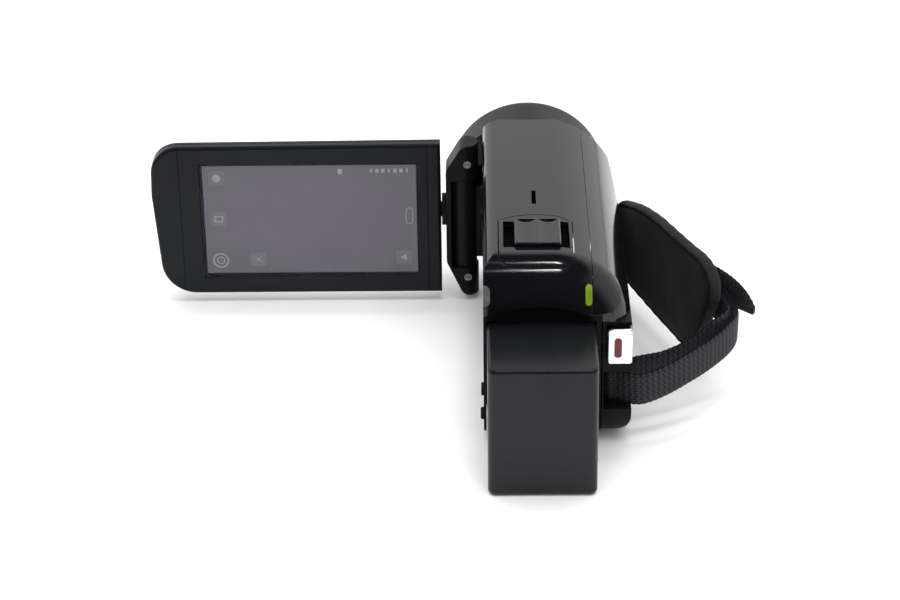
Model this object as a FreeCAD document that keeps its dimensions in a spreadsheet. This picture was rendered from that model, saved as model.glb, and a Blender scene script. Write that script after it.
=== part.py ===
"""Compact camcorder with an opened side screen, as a parametric document.

Frame: millimetres, +Z up, +Y towards the lens, +X towards the hand strap.
The origin is the mouth of the tripod socket in the base.
"""
import FreeCAD, Part
import math
import os
import re

import Sketcher
from FreeCAD import Rotation, Vector

doc = FreeCAD.newDocument("Camcorder")
sheet = doc.addObject("Spreadsheet::Sheet", "Sizes")

# ---------------------------------------------------------------- driving dimensions

SIZES = {
    # housing envelope
    "left_wall": -14.2, "right_wall": 27.8, "roof": 57.3, "rear_wall": -60, "hood_back": -62.5,
    "hood_lip": 42.6, "nose_joint": 41, "skin": 2.0, "open_front": 48, "seam": 0.15,
    "roof_left_radius": 4, "roof_right_radius": 22, "floor_right_radius": 9, "floor_left_radius": 3,
    "hood_radius": 12, "floor_rear_radius": 12, "slope_start": 20, "slope_rise": 8,
    "taper_start": 8, "nose_right": 24.5, "cone_back": 4, "cone_back_radius": 50,
    "cone_front_radius": 24.8,
    "roof_seam": 53.5, "side_seam": 16.2, "gloss_seam": 39.5, "floor_seam_left": -11.5,
    "floor_seam_right": 19.2, "plan_radius": 2.5, "hood_seam": -57, "top_corner_front": -48,
    "hood_arch_x": 1,
    "hood_arch_radius": 40, "hood_arch_centre": 5.6, "access_lamp_corner": 1.5, "power_lamp_corner": 0.9,
    # nose and lens
    "lens_height": 34, "nose_radius": 24.5, "nose_back_radius": 23.25, "nose_bore": 22.5,
    "nose_back": 41.2, "nose_web": 42.7,
    "ring_back": 50.4, "ring_front": 52.6, "ring_edge": 1.1, "window_half_width": 11.5,
    "window_half_height": 7.75, "window_corner": 3.5, "barrel_radius": 10.5, "barrel_bore": 9.4,
    "barrel_back": -6, "barrel_collar": 38, "barrel_front": 46.4, "collar_radius": 13,
    "collar_bore": 11.8, "front_lens_back": 42.5, "front_lens_dome": 30, "group_radius": 9.3,
    "zoom_group_back": 16, "zoom_group_length": 8, "focus_group_back": 2, "focus_group_length": 5,
    "group_dish": 14,
    # battery and its bay
    "battery_left": -13.2, "battery_right": 17.2, "battery_back": -88, "battery_front": -40.4,
    "battery_base": 0.15, "battery_top": 39.6, "battery_edge": 2.2, "battery_top_edge": 0.9,
    "bay_left": -13.45, "bay_right": 17.5, "bay_outer": 19.1, "bay_front": -40.1, "bay_end": -38.5,
    "bay_top": 40, "bay_roof": 41.7, "bay_back_top": 48.5, "bay_back_front": -58.4,
    # side screen and its hinge
    "swing_x": -19.9, "swing_y": 34.2, "tilt_height": 30, "screen_face": 29.7, "screen_back": 38.7,
    "screen_split": 32.4, "screen_dome": 70, "screen_right": -27.2, "screen_left": -117.5,
    "screen_low": 2.9,
    "screen_high": 54.0, "screen_top_corner": 9, "screen_low_corner": 11, "screen_edge": 1.0,
    "glass_left": -102.3, "glass_right": -33.8, "glass_low": 8.8, "glass_high": 47.8,
    "glass_inset": 0.15, "glass_thick": 0.8, "bezel_left": -108.6, "bezel_right": -31.3,
    "bezel_groove": 0.22, "display_left": -101.3, "display_right": -34.8,
    "display_low": 9.8, "display_high": 46.8, "display_back": 32.2,
    "block_left": -25.6, "block_right": -15.5, "block_low": 1.6, "block_high": 53.1,
    "block_shoulder_high": 44.5, "block_shoulder_low": 13.5, "block_top_left": -20.6,
    "block_foot_left": -20.2, "block_corner": 3.5, "knuckle_round": 4.3, "plate_inside": -24.0, "block_wall": 0.45,
    "gap_low": 11.2,
    "gap_high": 41.4, "base_knuckle_radius": 3.9, "base_knuckle_low": 11.6, "base_knuckle_high": 41,
    "pin_radius": 1.5, "pin_bore": 1.55, "pin_low": 5, "pin_high": 50, "tilt_shaft_radius": 2.45,
    "tilt_bore": 2.5, "tilt_shaft_end": -33.4, "neck_radius": 5.1, "neck_end": -26.9,
    # hand strap
    "post_radius": 1.4, "strap_thick": 1.4, "strap_width": 9.8, "pad_thick": 4.6,
    # zoom lever plate: D-shaped outline
    "plate_left": -9.6, "plate_right": 11.3, "plate_rear": -57.1, "plate_front": -27.3,
    "plate_shoulder": -31, "plate_rear_corner": 5, "plate_groove": 0.3,
    "lever_side_edge": 0.9, "lever_end_edge": 0.5, "lever_corner": 0.8, "dish_margin": 0.8,
    "dish_radius": 8, "dish_depth": 0.5, "dish_first": 3.45, "dish_second": 9.85,
    # tripod socket, quarter inch
    "socket_radius": 3.175, "socket_depth": 5.5, "socket_body": 5, "socket_height": 6.6,
    "socket_flange": 7,
    # buttons and small knobs
    "button_corner": 0.8, "button_edge": 0.4, "mark_corner": 1.0, "knob_edge": 0.5,
    # screws
    "screw_head": 1.7, "screw_shank": 0.9, "screw_well": 1.9, "screw_sink": 0.4, "screw_head_high": 1.0,
    "screw_length": 4.0, "hinge_screw_x": -18.9, "hinge_screw_high": 47, "hinge_screw_low": 8,
    "hinge_screw_head": 1.25, "hinge_screw_depth": 1.9,
}

# Each block: left, right, rear, front, bottom, top.
BLOCKS = {
    "battery_contacts": (2, 12, -40.05, -37.5, 4, 12),
    "sensor_board": (-9, 9, -9, -7.8, 25, 43),
    "image_sensor": (-3.5, 3.5, -7.7, -6.6, 31, 37),
    "main_board": (20.8, 22, -36, 20, 6, 43),
    "key_board": (-11.9, -11.1, -34, 14, 42, 51),
    "zoom_board": (-6, 8.5, -46, -34, 48.6, 49.4),
    "memory_card": (-12.1, 19.6, -36, -12, 6.6, 8.7),
    "socket_shell": (-8, 19.9, -37.2, -10.8, 5.2, 10.2),
    "jack_plate": (-12, -2, 1, 23, 7, 8.2),
    "wide_jack": (-12, -5, 2, 8, 8.2, 13.2),
    "middle_jack": (-12, -5, 10, 15, 8.2, 11.7),
    "front_jack": (-12, -5, 17, 22, 8.2, 11.7),
    "screen_board": (-84, -50, 33.2, 34.2, 16, 42),
    "upper_blade": (-13, 13, 48.5, 49.1, 42.1, 50.6),
    "lower_blade": (-13, 13, 47.6, 48.2, 17.4, 25.9),
    "cover_knob": (-25.5, -20.8, 43.9, 46.5, 33, 39),
    "knob_slot": (-26, -20, 43.6, 46.8, 27.6, 39.4),
    "start_button": (20.6, 27.6, -62.5, -58.3, 27.4, 38.3),
    "start_notch": (20.4, 30, -66, -57.5, 27.2, 38.5),
    "start_mark": (22.5, 24.6, -62.6, -61.6, 29.5, 35.7),
    "start_groove": (20, 28, -63, -61.9, 36.95, 37.25),
    "tray_outside": (-9.3, 11.3, -49.2, -30.8, 51.6, 54.6),
    "tray_inside": (-8.4, 10.4, -48.3, -31.7, 52.7, 62),
    "stem_slot": (-2.4, 5.1, -41.4, -38.6, 50, 54),
    "lever": (-5.3, 8.0, -48.0, -32.0, 53.0, 58.6),
    "lever_stem": (0.35, 2.35, -41, -39, 50.0, 53.2),
    "port": (0.1, 1.4, -20, -11, 50, 60),
    "access_lamp": (-20, -12.3, -66, -59, 45.9, 51.6),
    "power_lamp": (14.3, 16.2, -66, -59, 45.7, 51.1),
    "latch_window": (-15.5, -13, -58.2, -47.8, 3.0, 20.2),
    "latch_plate": (-14.15, -13.5, -57.9, -51, 3.4, 15.7),
    "latch_knob": (-15.1, -14.0, -57.4, -54.4, 6.9, 9.3),
    "latch_guide": (-14.9, -13.45, -59.6, -56.4, 16.0, 18.5),
    "terminal_cover": (-14.2, -12.9, 0, 24, 6.6, 21),
    "terminal_hole": (-16, -11, -0.2, 24.2, 6.1, 21.2),
    "card_cover": (-14.2, -12.9, -37, -11, 4.4, 12),
    "card_hole": (-16, -11, -37.2, -10.8, 3.9, 12.2),
    "rear_notch": (19.7, 32, -66, -46, 11.5, 23.5),
    "rear_bracket": (19.3, 25.7, -57.9, -44.6, 10.2, 24.8),
    "front_notch": (18.5, 32, 22.2, 32.2, 17.6, 30.4),
    "front_bracket": (17.3, 24.6, 21, 33.4, 16.4, 31.6),
    "chassis_floor": (-9.5, 19.5, -34, 20, 15, 16),
    "chassis_rear_saddle": (-8, 8, -3, 0, 15.5, 33),
    "chassis_front_saddle": (-8, 8, 12, 15, 15.5, 33),
    "hinge_web": (-17, -12.1, 32.7, 35.7, 14, 38),
    "hinge_foot": (-12.1, -11.0, 27, 38, 15.5, 39),
    "hinge_slot": (-18, -11, 32.5, 35.9, 13.8, 38.2),
}
SIDES = ("left", "right", "rear", "front", "bottom", "top")
for block_name, limits in BLOCKS.items():
    for side, limit in zip(SIDES, limits):
        SIZES[f"{block_name}_{side}"] = limit

# Each rod: radius, length, then the centre of its first end face.
RODS = {
    "power_button": (4.0, 2.3, -14.7, 6, 46.5),
    "power_hole": (4.25, 4, -16, 6, 46.5),
    "mode_button": (2.6, 2.3, -14.6, -8, 46.5),
    "mode_hole": (2.85, 4, -16, -8, 46.5),
    "speaker": (7.5, 3.2, -12.1, -24, 27),
    "microphone": (2, 3, 0.75, -15.5, 50.5),
}
for rod_name, numbers in RODS.items():
    for word, number in zip(("radius", "length", "start_x", "start_y", "start_z"), numbers):
        SIZES[f"{rod_name}_{word}"] = number

for row, (alias, number) in enumerate(SIZES.items(), 1):
    sheet.set(f"A{row}", alias)
    sheet.set(f"B{row}", str(number))
    sheet.setAlias(f"B{row}", alias)
doc.recompute()

# ---------------------------------------------------------------- small builders

AXES = {"x": Rotation(Vector(0, 0, 1), Vector(1, 0, 0)),
        "y": Rotation(Vector(0, 0, 1), Vector(0, 1, 0)),
        "z": Rotation()}
nodes = {}


def size(alias):
    """The number in the sheet's cell of this name."""
    return float(sheet.get(alias))


def bound(text):
    """A formula with each sheet word turned into a reference to its cell."""
    return re.sub(r"[a-z_]+", lambda word: f"Sizes.{word.group()}" if word.group() in SIZES
                  else word.group(), str(text))


def bind(item, **formulas):
    for name, text in formulas.items():
        item.setExpression(name.replace("__", "."), bound(text))


def place(item, x, y, z):
    bind(item, Placement__Base__x=x, Placement__Base__y=y, Placement__Base__z=z)


def box(x, y, z, name="Box"):
    """A box from three pairs of formulas: low and high along each axis."""
    item = doc.addObject("Part::Box", name)
    bind(item, Length=f"{x[1]} - ({x[0]})", Width=f"{y[1]} - ({y[0]})", Height=f"{z[1]} - ({z[0]})")
    place(item, x[0], y[0], z[0])
    return item


def block(name):
    """The box whose six sides are cells of the sheet."""
    low_high = [(f"{name}_{low}", f"{name}_{high}") for low, high in zip(SIDES[::2], SIDES[1::2])]
    return box(*low_high, name=name.title().replace("_", ""))


def rod(axis, radius, length, x, y, z, name="Rod"):
    item = doc.addObject("Part::Cylinder", name)
    item.Placement.Rotation = AXES[axis]
    bind(item, Radius=radius, Height=length)
    place(item, x, y, z)
    return item


def listed_rod(name, axis="x"):
    words = [f"{name}_{word}" for word in ("radius", "length", "start_x", "start_y", "start_z")]
    return rod(axis, *words, name=name.title().replace("_", ""))


def cone(axis, radius, end_radius, length, x, y, z):
    item = doc.addObject("Part::Cone", "Cone")
    item.Placement.Rotation = AXES[axis]
    bind(item, Radius1=radius, Radius2=end_radius, Height=length)
    place(item, x, y, z)
    return item


def ball(radius, x, y, z):
    item = doc.addObject("Part::Sphere", "Ball")
    bind(item, Radius=radius)
    place(item, x, y, z)
    return item


def cut(base, *tools):
    item = doc.addObject("Part::Cut", "Cut")
    item.Base = base
    item.Tool = tools[0] if len(tools) == 1 else fuse(*tools)
    return item


def fuse(*parts):
    item = doc.addObject("Part::MultiFuse", "Fuse")
    item.Shapes = parts
    return item


def common(*parts):
    item = doc.addObject("Part::MultiCommon", "Common")
    item.Shapes = parts
    return item


def rounded(base, *rules):
    """Round the edges that each rule's test picks, by the rule's radius."""
    doc.recompute()
    item = doc.addObject("Part::Fillet", "Round")
    item.Base = base
    edges = []
    for index, edge in enumerate(base.Shape.Edges, 1):
        radii = [radius for test, radius in rules if test(edge)]
        if radii:
            edges.append((index, radii[0], radii[0]))
    item.Edges = edges
    return item


def runs(edge, axis):
    """True when a straight edge runs along the axis."""
    ends = edge.Vertexes
    if edge.Curve.TypeId != "Part::GeomLine" or len(ends) != 2:
        return False
    across = ends[1].Point - ends[0].Point
    return abs(getattr(across, axis)) > 0.999 * across.Length


def slab(name, plane, outline, across):
    """A body: a closed polygon of (u, v) formulas on one of its own planes, padded across it."""
    body = doc.addObject("PartDesign::Body", name)
    sketch = body.newObject("Sketcher::SketchObject", f"{name}Sketch")
    support = [feature for feature in body.Origin.OriginFeatures if feature.Role == f"{plane}_Plane"][0]
    sketch.AttachmentSupport = (support, [""])
    sketch.MapMode = "FlatFace"
    count = len(outline)
    ring = [Vector(math.cos(2 * math.pi * turn / count), math.sin(2 * math.pi * turn / count), 0)
            for turn in range(count)]
    for turn in range(count):
        sketch.addGeometry(Part.LineSegment(ring[turn], ring[(turn + 1) % count]))
    for turn in range(count):
        sketch.addConstraint(Sketcher.Constraint("Coincident", turn, 2, (turn + 1) % count, 1))
    for turn, corner in enumerate(outline):
        for kind, text, start in zip(("DistanceX", "DistanceY"), corner, (ring[turn].x, ring[turn].y)):
            index = sketch.addConstraint(Sketcher.Constraint(kind, -1, 1, turn, 1, start))
            sketch.setExpression(f"Constraints[{index}]", bound(text))
    pad = body.newObject("PartDesign::Pad", f"{name}Pad")
    pad.Profile = sketch
    pad.Midplane = True
    low, high = across
    bind(pad, Length=f"{high} - ({low})")
    normal = {"XY": "z", "XZ": "y", "YZ": "x"}[plane]
    bind(body, **{f"Placement__Base__{normal}": f"({low} + {high}) / 2"})
    doc.recompute()
    return body


def body_fillet(body, radius, test):
    """Round the body's edges that the test picks, seen where the body is placed."""
    picked = [f"Edge{index}" for index, edge in enumerate(body.Shape.Edges, 1) if test(edge)]
    last = body.Tip
    fillet = body.newObject("PartDesign::Fillet", "BodyFillet")
    fillet.Base = (last, picked)
    bind(fillet, Radius=radius)
    body.Tip = fillet
    doc.recompute()
    return body


def solid(name, shape):
    """A feature whose shape comes from a formula that no other feature type covers."""
    item = doc.addObject("Part::Feature", name)
    item.Shape = shape
    return item


def node(name, item):
    item.Label = name
    nodes[name] = item
    return item


# ---------------------------------------------------------------- housing envelope

def at(edge):
    return edge.BoundBox.Center


def envelope(inset, front):
    """The housing's outer form, drawn in by the inset: end view, side view and plan, crossed.

    Above the grip the glossy shoulder also rounds off towards the rear, along its own arc.
    """
    reach = size(inset) if inset in SIZES else 0
    end_view = rounded(
        box((f"left_wall + {inset}", f"right_wall - {inset}"), (f"hood_back + {inset}", front),
            (inset, f"roof - {inset}")),
        (lambda e: runs(e, "y") and at(e).x < 0 and at(e).z > 30, size("roof_left_radius") - reach),
        (lambda e: runs(e, "y") and at(e).x > 0 and at(e).z > 30, size("roof_right_radius") - reach),
        (lambda e: runs(e, "y") and at(e).x > 0 and at(e).z < 30, size("floor_right_radius") - reach),
        (lambda e: runs(e, "y") and at(e).x < 0 and at(e).z < 30, size("floor_left_radius") - reach))
    side_view = slab(
        "SideView", "YZ",
        [(f"rear_wall + {inset}", inset), ("slope_start", inset), (front, f"slope_rise + {inset}"),
         (front, f"roof - {inset}"), (f"hood_back + {inset}", f"roof - {inset}"),
         (f"hood_back + {inset}", f"hood_lip + {inset}"), (f"rear_wall + {inset}", f"hood_lip + {inset}")],
        ("left_wall - 5", "right_wall + 5"))
    body_fillet(side_view, f"hood_radius - {inset}",
                lambda e: runs(e, "x") and at(e).z > 50 and at(e).y < -50)
    body_fillet(side_view, f"floor_rear_radius - {inset}",
                lambda e: runs(e, "x") and at(e).z < 10 and at(e).y < -50)
    plan = slab(
        "Plan", "XY",
        [(f"left_wall + {inset}", f"hood_back + {inset}"),
         (f"right_wall - {inset}", f"hood_back + {inset}"),
         (f"right_wall - {inset}", "taper_start"), (f"nose_right - {inset}", front),
         (f"left_wall + {inset}", front)],
        ("-5", "roof + 5"))
    body_fillet(plan, f"plan_radius - {inset}", lambda e: runs(e, "z") and at(e).x > 20 and at(e).y < -50)
    nose_form = fuse(
        cone("y", f"cone_back_radius - {inset}", f"cone_front_radius - {inset}", "nose_joint - cone_back",
             "0", "cone_back", "lens_height"),
        rod("y", f"cone_front_radius - {inset}", "open_front - nose_joint", "0", "nose_joint",
            "lens_height"),
        box(("-40", "40"), ("hood_back - 5", "cone_back"), ("-20", "80")))
    shoulder = rounded(
        rod("y", f"roof_right_radius - {inset}", f"{front} - (hood_back + {inset})",
            "right_wall - roof_right_radius", f"hood_back + {inset}", "roof - roof_right_radius"),
        (lambda e: abs(at(e).y - size("hood_back") - reach) < 0.01, size("hood_radius") - reach))
    shoulder_form = fuse(
        shoulder,
        box(("-40", "right_wall - roof_right_radius"), ("hood_back - 5", front), ("-20", "80")),
        box(("-40", "40"), ("hood_back - 5", front), ("-20", f"gloss_seam - {inset}")))
    return common(end_view, side_view, plan, nose_form, shoulder_form)


outer = envelope("0", "nose_joint")
inner = envelope("skin", "open_front")
shell = cut(outer, inner)


def region(x, y, z):
    """The part of the shell inside a box."""
    return common(shell, box(x, y, z))


# ---------------------------------------------------------------- zoom lever and its plate

def plate_cutter(grow):
    """The D-shaped prism that the zoom plate is cut to, grown on every side."""
    left = f"plate_left - {grow}"
    right = f"plate_right + {grow}"
    front = f"plate_front + {grow}"
    outline = [(left, f"plate_rear - {grow}"), (right, f"plate_rear - {grow}"), (right, "plate_shoulder"),
               (f"{right} - 4.5", f"{front} - 1.1"), ("(plate_left + plate_right) / 2", front),
               (f"{left} + 4.5", f"{front} - 1.1"), (left, "plate_shoulder")]
    prism = slab("PlatePrism", "XY", outline, ("roof - 12", "roof + 6"))
    return body_fillet(prism, "plate_rear_corner",
                       lambda e: runs(e, "z") and at(e).y < size("plate_rear") + 1)


tray = cut(block("tray_outside"), block("tray_inside"))
plate_skin = common(shell, plate_cutter("0"))
node("zoom_surround", cut(fuse(plate_skin, tray), block("tray_inside"), block("stem_slot")))

lever_block = rounded(block("lever"),
                      (lambda e: runs(e, "y") and at(e).z > 57, size("lever_side_edge")),
                      (lambda e: runs(e, "x") and at(e).z > 57, size("lever_end_edge")),
                      (lambda e: runs(e, "z"), size("lever_corner")))
lever_dishes = [rod("y", "dish_radius", "lever_front - lever_rear - 2 * dish_margin",
                    f"lever_left + {across}", "lever_rear + dish_margin", "lever_top + dish_radius - dish_depth")
                for across in ("dish_first", "dish_second")]
node("zoom_lever", fuse(cut(lever_block, *lever_dishes), block("lever_stem")))
node("zoom_board", block("zoom_board"))

# ---------------------------------------------------------------- housing shells

bay_space = box(("bay_left", "bay_outer"), ("hood_back - 5", "bay_end"), ("-5", "bay_roof"))
hood_space = box(("-25", "side_seam + seam"), ("hood_back - 5", "hood_seam + seam"), ("hood_lip", "80"))
arch = rod("y", "hood_arch_radius", "6", "hood_arch_x", "hood_back - 3.4", "hood_arch_centre")
access_light = rounded(block("access_lamp"),
                       (lambda e: runs(e, "y") and at(e).x > -15, size("access_lamp_corner")))
power_light = rounded(block("power_lamp"), (lambda e: runs(e, "y"), size("power_lamp_corner")))

top = region(("-25", "side_seam"), ("hood_seam", "nose_joint"), ("roof_seam", "80"))
top_corner = region(("floor_seam_left + 10", "side_seam"), ("hood_seam", "top_corner_front"),
                    ("bay_back_top + 0.5", "80"))
hood = region(("-25", "side_seam"), ("hood_back - 5", "hood_seam"), ("hood_lip + seam", "80"))
hood_back_gap = box(("-25", "30"), ("rear_wall - 0.1", "hood_seam + 1"),
                    ("hood_lip - 1", "bay_back_top + 0.5"))
hood_shell = cut(hood, arch, hood_back_gap, access_light, power_light)
node("top_panel", cut(fuse(top, top_corner, hood_shell), plate_cutter("plate_groove"), block("port"),
                      block("tray_outside")))
node("access_lamp", cut(common(hood, access_light), hood_back_gap))
node("power_lamp", cut(common(hood, power_light), hood_back_gap))

left = region(("-25", "floor_seam_left"), ("hood_back - 5", "nose_joint"), ("-5", "roof_seam - seam"))
speaker_holes = [rod("x", "0.6", "5", "left_wall - 1", f"speaker_start_y + {across}",
                     f"speaker_start_z + {up}") for across in (-3.6, -1.2, 1.2, 3.6) for up in (-3, 0, 3)]
left_openings = [block(name) for name in ("terminal_hole", "card_hole", "hinge_slot", "latch_window")]
left_rods = [listed_rod("power_hole"), listed_rod("mode_hole")]
bay_side = box(("bay_left", "0"), ("hood_back - 5", "bay_end"), ("-5", "bay_roof"))
left_wall = cut(left, bay_side, hood_space, *left_openings, *left_rods, *speaker_holes)
node("left_shell", fuse(left_wall, block("latch_guide")))

right = region(("side_seam + seam", "40"), ("hood_back - 5", "nose_joint"), ("gloss_seam + seam", "80"))
node("right_shell", cut(right, bay_space))

grip = region(("floor_seam_right + seam", "40"), ("hood_back - 5", "nose_joint"), ("-5", "gloss_seam"))
node("grip_cover", cut(grip, bay_space, block("start_notch"), block("rear_notch"), block("front_notch")))

floor_screws = [(-8.5, 27), (14.5, 16), (-8.5, -6), (15.5, -6)]
base = region(("floor_seam_left + seam", "floor_seam_right"), ("hood_back - 5", "nose_joint"), ("-5", "12"))
screw_wells = [rod("z", "screw_well", "screw_sink + screw_head_high", x, y, "0") for x, y in floor_screws]
screw_holes = [rod("z", "screw_shank + 0.1", "8", x, y, "-1") for x, y in floor_screws]
socket_hole = rod("z", "socket_body + 0.05", "8", "0", "0", "-1")
node("base_cover", cut(base, bay_space, socket_hole, *screw_wells, *screw_holes))

bay_walls = [
    box(("bay_left + 0.1", "floor_seam_right - 0.2"), ("bay_front", "bay_end - 0.1"),
        ("0.3", "bay_roof - 0.1")),
    box(("bay_left + 0.1", "floor_seam_right - 0.2"), ("rear_wall", "bay_end - 0.1"),
        ("bay_top", "bay_roof - 0.1")),
    box(("bay_right", "floor_seam_right - 0.2"), ("rear_wall", "bay_end - 0.1"),
        ("0.3", "bay_roof - 0.1")),
    box(("floor_seam_left + 0.1", "side_seam"), ("rear_wall", "bay_back_front"),
        ("bay_roof - 0.2", "bay_back_top"))]
contact_pocket = box(("battery_contacts_left", "battery_contacts_right"), ("bay_front - 1", "bay_end + 1"),
                     ("battery_contacts_bottom", "battery_contacts_top"))
node("battery_bay", cut(common(fuse(*bay_walls), outer), contact_pocket))
node("battery_contacts", block("battery_contacts"))

# ---------------------------------------------------------------- nose, lens cover and lens

nose_tube = cone("y", "nose_back_radius", "nose_radius", "ring_back - nose_back", "0", "nose_back",
                 "lens_height")
nose_space = rod("y", "nose_bore", "ring_back", "0", "nose_web", "lens_height")
collar_hole = rod("y", "collar_radius + 0.3", "10", "0", "nose_back - 1", "lens_height")
node("nose_shell", cut(nose_tube, nose_space, collar_hole, block("knob_slot")))

ring_disc = rounded(rod("y", "nose_radius", "ring_front - ring_back - seam", "0", "ring_back + seam",
                        "lens_height"),
                    (lambda e: abs(at(e).y - size("ring_front")) < 0.01, size("ring_edge")))
window = rounded(box(("-window_half_width", "window_half_width"), ("ring_back - 1", "ring_front + 1"),
                     ("lens_height - window_half_height", "lens_height + window_half_height")),
                 (lambda e: runs(e, "y"), size("window_corner")))
node("lens_ring", cut(ring_disc, window))
node("upper_blade", block("upper_blade"))
node("lower_blade", block("lower_blade"))
node("cover_knob", rounded(block("cover_knob"), (lambda e: at(e).x < size("cover_knob_left") + 0.01,
                                                 size("knob_edge"))))


def barrel_rod(radius, start, end):
    return rod("y", radius, f"{end} - ({start})", "0", start, "lens_height")


node("lens_barrel", cut(
    fuse(barrel_rod("barrel_radius", "barrel_back", "barrel_collar + 1"),
         barrel_rod("barrel_radius", "barrel_collar", "nose_back"),
         barrel_rod("collar_radius", "nose_back", "barrel_front")),
    barrel_rod("barrel_bore", "barrel_back - 1", "barrel_front"),
    barrel_rod("collar_bore", "front_lens_back - 0.1", "barrel_front + 1")))
front_dome = ball("front_lens_dome", "0", "barrel_front - front_lens_dome", "lens_height")
node("front_lens", common(barrel_rod("collar_bore - 0.02", "front_lens_back", "barrel_front"), front_dome))


def lens_group(name):
    """A lens group: a short cylinder with a dished face at each end."""
    start = f"{name}_back"
    end = f"{name}_back + {name}_length"
    dishes = [ball("group_dish", "0", f"{start} - group_dish + 1.2", "lens_height"),
              ball("group_dish", "0", f"{end} + group_dish - 1.2", "lens_height")]
    return cut(barrel_rod("group_radius", start, end), *dishes)


node("zoom_group", lens_group("zoom_group"))
node("focus_group", lens_group("focus_group"))

# ---------------------------------------------------------------- electronics and inner frame

for name in ("sensor_board", "image_sensor", "main_board", "key_board", "memory_card"):
    node(name, block(name))
card_space = box(("socket_shell_left - 1", "memory_card_right + 0.1"),
                 ("memory_card_rear - 0.1", "memory_card_front + 0.1"),
                 ("memory_card_bottom - 0.1", "memory_card_top + 0.1"))
node("card_socket", cut(block("socket_shell"), card_space))
jacks = [block(name) for name in ("wide_jack", "middle_jack", "front_jack")]
node("jack_board", fuse(block("jack_plate"), *jacks))
saddles = [block("chassis_rear_saddle"), block("chassis_front_saddle")]
node("chassis", cut(fuse(block("chassis_floor"), *saddles),
                    barrel_rod("barrel_radius + 0.05", "barrel_back", "barrel_collar")))
node("speaker", listed_rod("speaker"))
node("microphone", listed_rod("microphone", "z"))

# ---------------------------------------------------------------- tripod socket and base screws

socket_solid = fuse(rod("z", "socket_body", "socket_height", "0", "0", "0"),
                    rod("z", "socket_flange", "1.2", "0", "0", "skin + 0.05"))
node("tripod_socket", cut(socket_solid, rod("z", "socket_radius", "socket_depth", "0", "0", "0")))
node("base_screws", fuse(*[fuse(rod("z", "screw_head", "screw_head_high", x, y, "screw_sink"),
                                rod("z", "screw_shank", "screw_length", x, y, "screw_sink + 0.5"))
                           for x, y in floor_screws]))

# ---------------------------------------------------------------- buttons and covers

button_block = rounded(block("start_button"), (lambda e: runs(e, "y"), size("button_corner")))
button_edge = rounded(button_block, (lambda e: at(e).y < size("start_button_rear") + 0.01,
                                     size("button_edge")))
mark = rounded(block("start_mark"), (lambda e: runs(e, "y"), size("mark_corner")))
node("start_button", cut(button_edge, mark, block("start_groove")))
node("start_mark", common(mark, box(("start_mark_left", "start_mark_right"),
                                    ("start_mark_rear", "start_mark_front - 0.05"),
                                    ("start_mark_bottom", "start_mark_top"))))
node("power_button", listed_rod("power_button"))
node("mode_button", listed_rod("mode_button"))
node("terminal_cover", block("terminal_cover"))
node("card_cover", block("card_cover"))
latch = fuse(block("latch_plate"),
             rounded(block("latch_knob"), (lambda e: at(e).x < size("latch_knob_left") + 0.01,
                                           size("button_edge"))))
node("battery_latch", latch)

# ---------------------------------------------------------------- battery

pack = slab("Pack", "XZ", [("battery_left", "battery_base"), ("battery_right", "battery_base"),
                           ("battery_right", "battery_top"), ("battery_left", "battery_top")],
            ("battery_back", "battery_front"))
body_fillet(pack, "battery_edge", lambda e: at(e).y < size("battery_back") + 0.01 and runs(e, "z"))
body_fillet(pack, "battery_edge / 2", lambda e: runs(e, "y") and at(e).z < 5)
body_fillet(pack, "battery_top_edge",
            lambda e: at(e).y < size("battery_back") + 0.01 and runs(e, "x"))
node("battery", pack)

# ---------------------------------------------------------------- side screen

screen_outline = [("screen_right", "screen_low"), ("screen_left + 2.5", "screen_low"),
                  ("screen_left", "screen_high - 17"), ("screen_left + 0.6", "screen_high - 0.6"),
                  ("screen_right", "screen_high")]


def screen_slab(name, rear, front):
    item = slab(name, "XZ", screen_outline, (rear, front))
    body_fillet(item, "screen_top_corner",
                lambda e: runs(e, "y") and at(e).x < size("screen_left") + 5 and at(e).z > 50)
    body_fillet(item, "screen_low_corner",
                lambda e: runs(e, "y") and at(e).x < size("screen_left") + 5 and at(e).z < 10)
    return item


tilt_hole = rod("x", "tilt_bore", "screen_right - tilt_shaft_end + 1.2", "tilt_shaft_end - 0.2",
                "swing_y", "tilt_height")
glass_space = box(("glass_left - 0.1", "glass_right + 0.1"),
                  ("screen_face - 1", "screen_face + glass_inset + glass_thick + 0.1"),
                  ("glass_low - 0.1", "glass_high + 0.1"))
display_space = box(("display_left - 0.1", "display_right + 0.1"), ("screen_face", "screen_split + 1"),
                    ("display_low - 0.1", "display_high + 0.1"))
front_frame = screen_slab("FrameSlab", "screen_face", "screen_split")
body_fillet(front_frame, "screen_edge", lambda e: abs(at(e).y - size("screen_face")) < 0.01)
bezel_grooves = [box((edge, f"{edge} + bezel_groove"), ("screen_face - 1", "screen_face + bezel_groove"),
                     ("screen_low - 1", "screen_high + 1")) for edge in ("bezel_left", "bezel_right")]
node("screen_frame", cut(front_frame, glass_space, display_space, tilt_hole, *bezel_grooves))
back_slab = screen_slab("BackSlab", "screen_split + seam", "screen_back")
dome = rod("x", "screen_dome", "screen_right - screen_left + 4", "screen_left - 2",
           "screen_back - screen_dome", "(screen_low + screen_high) / 2")
back_form = common(back_slab, dome)
board_space = box(("screen_board_left - 2", "screen_board_right + 2"),
                  ("screen_split", "screen_board_front + 1"),
                  ("screen_board_bottom - 2", "screen_board_top + 2"))
node("screen_cover", cut(back_form, tilt_hole, board_space))
node("screen_board", block("screen_board"))
node("screen_glass", box(("glass_left", "glass_right"),
                         ("screen_face + glass_inset", "screen_face + glass_inset + glass_thick"),
                         ("glass_low", "glass_high")))
node("screen_display", box(("display_left", "display_right"),
                           ("screen_face + glass_inset + glass_thick + 0.05", "display_back"),
                           ("display_low", "display_high")))

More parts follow.
